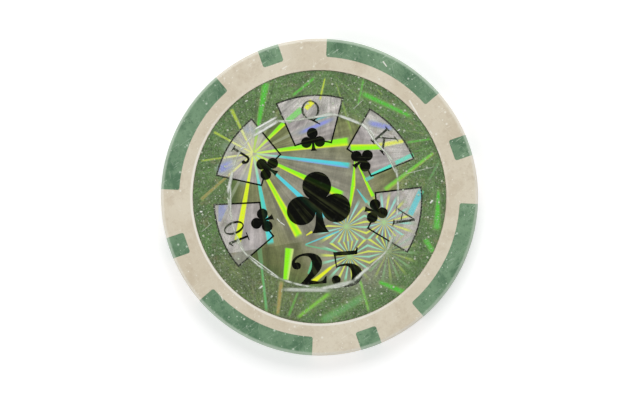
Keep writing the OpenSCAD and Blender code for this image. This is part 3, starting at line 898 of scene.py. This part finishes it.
def film_material():
    """Clear film: see-through where it is bonded, hazy and dusty where it has lifted, and white at its fold,
    partly whitened film and partly painted highlight.
    """
    material, graph, inputs = new_material("clear_film")
    xy = graph.label_xy()
    place = graph.flat(xy)
    lift = graph.add("Attribute", attribute_name="lift").outputs["Fac"]
    crease = graph.add("Attribute", attribute_name="crease").outputs["Fac"]
    # Painted highlight: the crease line, partly whitened film, and the glints along the fold go white as if
    # catching light; the hairs are real scratches and specks
    broken = graph.step(graph.noise(place, 1.1, 3.0), 0.35, 0.6, 0.2, 0.75)
    glints_and_white_marks = add_marks(graph, xy, GLINTS, graph.math("MULTIPLY", crease, broken), GLINT)
    glints_and_white_marks = graph.math("MULTIPLY", glints_and_white_marks, graph.step(graph.noise(place, 2.2, 3.0), 0.3, 0.6, 0.8, 1.0))
    glints_and_white_marks = add_marks(graph, xy, HAIRS, glints_and_white_marks, GLINT)
    dust = graph.math("MULTIPLY", all_dust(graph, place, FILM_DUST, True), 0.65)
    scratched = graph.math("MULTIPLY", all_scratches(graph, place, FILM_SCRATCHES), 0.16)
    worn = graph.math("MAXIMUM", dust, scratched)
    cloudy = graph.step(graph.noise(place, 4.5, 5.0, 0.85), 0.46, 0.74, 0.0, 0.24)
    haze = graph.math("MAXIMUM", cloudy, worn)
    haze = graph.math("MULTIPLY", haze, graph.step(lift, 0.0, 1.0, 0.02, 1.0))
    graph.put(inputs["Alpha"], graph.math("MAXIMUM", haze, glints_and_white_marks))
    graph.put(inputs["Base Color"], graph.mix(glints_and_white_marks, srgb(204, 214, 190), srgb(238, 240, 236)))
    inputs["Roughness"].default_value = 0.3
    inputs["Specular IOR Level"].default_value = 0.4
    return material


def dress():
    cream = plastic_material(
        "cream_plastic",
        base=srgb(209, 198, 175),
        light=srgb(219, 210, 189),
        dark=srgb(194, 179, 154),
        # Pale colour of scuffs and dust, also used as the painted highlight on the rim edges and seat lips
        worn=srgb(236, 232, 220),
        mottle=0.45,
    )
    green = plastic_material(
        "green_plastic",
        base=srgb(95, 130, 98),
        light=srgb(120, 153, 120),
        dark=srgb(70, 108, 78),
        # Pale colour of scuffs and dust, also used as the painted highlight on the rim edges
        worn=srgb(196, 212, 192),
        mottle=0.75,
    )
    light_tree = starbursts()
    wear(["chip_body"], cream)
    spots = [f"{kind}_edge_spot_{i}" for kind in ("long", "short") for i in range(1, 5)]
    wear(spots, green)
    wear(["weight_slug"], steel_material())
    faces = ("upper", "lower")
    wear([f"{face}_label_adhesive" for face in faces], adhesive_material())
    wear([f"{face}_label_foil" for face in faces], foil_material(light_tree))
    wear([f"{face}_label_green_ink" for face in faces], green_ink_material(light_tree))
    wear([f"{face}_label_black_ink" for face in faces], black_ink_material(light_tree))
    film = film_material()
    for face in faces:
        film_piece(f"{face}_film_sheet", f"{face}_label_film", film, face == "upper")


# Stage: a pale floor, a plain sky and two soft lamps, in metres
FLOOR_R = 3.0
FLOOR_DROP = 0.02 * MM
FLOOR_LEVEL = 0.72
# Light that the floor adds where it is seen directly or in a reflection
FLOOR_GLOW = 0.45
# The sky's brightness at these heights
SKY = [(0.0, 1.0), (0.2, 0.9), (0.75, 0.16)]
# Name, azimuth, elevation, distance, size and power in watts
LAMPS = [
    ("key_lamp", 170.0, 48.0, 0.6, 0.4, 2.2),
    ("fill_lamp", -40.0, 45.0, 0.6, 0.4, 1.2),
]
# The photograph's view, scale and width
CAMERA_AZIMUTH = 7.0
CAMERA_ELEVATION = 87.0
CAMERA_DISTANCE = 0.45
CAMERA_AIM = Vector((0.068 * MM, -0.437 * MM, chip_t))
PX_PER_MM = 7.94
PICTURE_W = 640
SENSOR_W = 36.0


def grey(level):
    return (level, level, level, 1.0)


def make_floor():
    material = bpy.data.materials.new("pale_floor")
    material.use_nodes = True
    material.node_tree.nodes.clear()
    graph = Graph(material.node_tree)
    rays = graph.add("LightPath").outputs
    seen = graph.math("MAXIMUM", rays["Is Camera Ray"], rays["Is Glossy Ray"])
    seen = graph.math("MAXIMUM", seen, rays["Is Transmission Ray"])
    matt = graph.add("BsdfDiffuse", grey(FLOOR_LEVEL))
    glow = graph.add("Emission", grey(1.0), graph.math("MULTIPLY", seen, FLOOR_GLOW))
    both = graph.add("AddShader", matt.outputs[0], glow.outputs[0])
    output = graph.add("OutputMaterial")
    graph.put(output.inputs["Surface"], both.outputs[0])
    mesh = bpy.data.meshes.new("floor")
    signs = ((-1, -1), (1, -1), (1, 1), (-1, 1))
    corners = [(x * FLOOR_R, y * FLOOR_R, -FLOOR_DROP) for x, y in signs]
    mesh.from_pydata(corners, [], [(0, 1, 2, 3)])
    mesh.materials.append(material)
    floor = bpy.data.objects.new("floor", mesh)
    bpy.context.scene.collection.objects.link(floor)


def make_sky():
    world = bpy.data.worlds.new("sky")
    world.use_nodes = True
    world.node_tree.nodes.clear()
    graph = Graph(world.node_tree)
    height = graph.xyz(graph.add("TexCoord").outputs["Generated"])[2]
    colour = graph.ramp(height, [(place, grey(level)) for place, level in SKY])
    background = graph.add("Background", colour, 1.0)
    output = graph.add("OutputWorld")
    graph.put(output.inputs["Surface"], background.outputs[0])
    bpy.context.scene.world = world


def add_lamp(name, azimuth, elevation, distance, size, power):
    """A soft square lamp that faces the chip. Azimuth 0 is at -Y."""
    flat = distance * math.cos(math.radians(elevation))
    spot = turned(flat, azimuth - 90)
    lamp = bpy.data.lights.new(name, "AREA")
    lamp.shape = "SQUARE"
    lamp.size = size
    lamp.energy = power
    holder = bpy.data.objects.new(name, lamp)
    holder.location = (spot.x, spot.y, distance * math.sin(math.radians(elevation)))
    holder.rotation_euler = Vector(holder.location).to_track_quat("Z", "Y").to_euler()
    bpy.context.scene.collection.objects.link(holder)


def make_camera():
    """Looks down at the chip a few degrees off its axis, with +Y up the picture."""
    elevation = math.radians(CAMERA_ELEVATION)
    flat = turned(math.cos(elevation), CAMERA_AZIMUTH - 90)
    back = Vector((flat.x, flat.y, math.sin(elevation)))
    right = Vector((0.0, 1.0, 0.0)).cross(back).normalized()
    up = back.cross(right)
    data = bpy.data.cameras.new("camera")
    data.sensor_width = SENSOR_W
    data.lens = PX_PER_MM * SENSOR_W * CAMERA_DISTANCE / MM / PICTURE_W
    data.clip_start = 0.01
    camera = bpy.data.objects.new("camera", data)
    turn = Matrix((right, up, back)).transposed().to_4x4()
    camera.matrix_world = Matrix.Translation(CAMERA_AIM + back * CAMERA_DISTANCE) @ turn
    bpy.context.scene.collection.objects.link(camera)
    bpy.context.scene.camera = camera


make_camera()
make_sky()
make_floor()
for row in LAMPS:
    add_lamp(*row)
dress()
bpy.context.scene.view_settings.view_transform = "Standard"
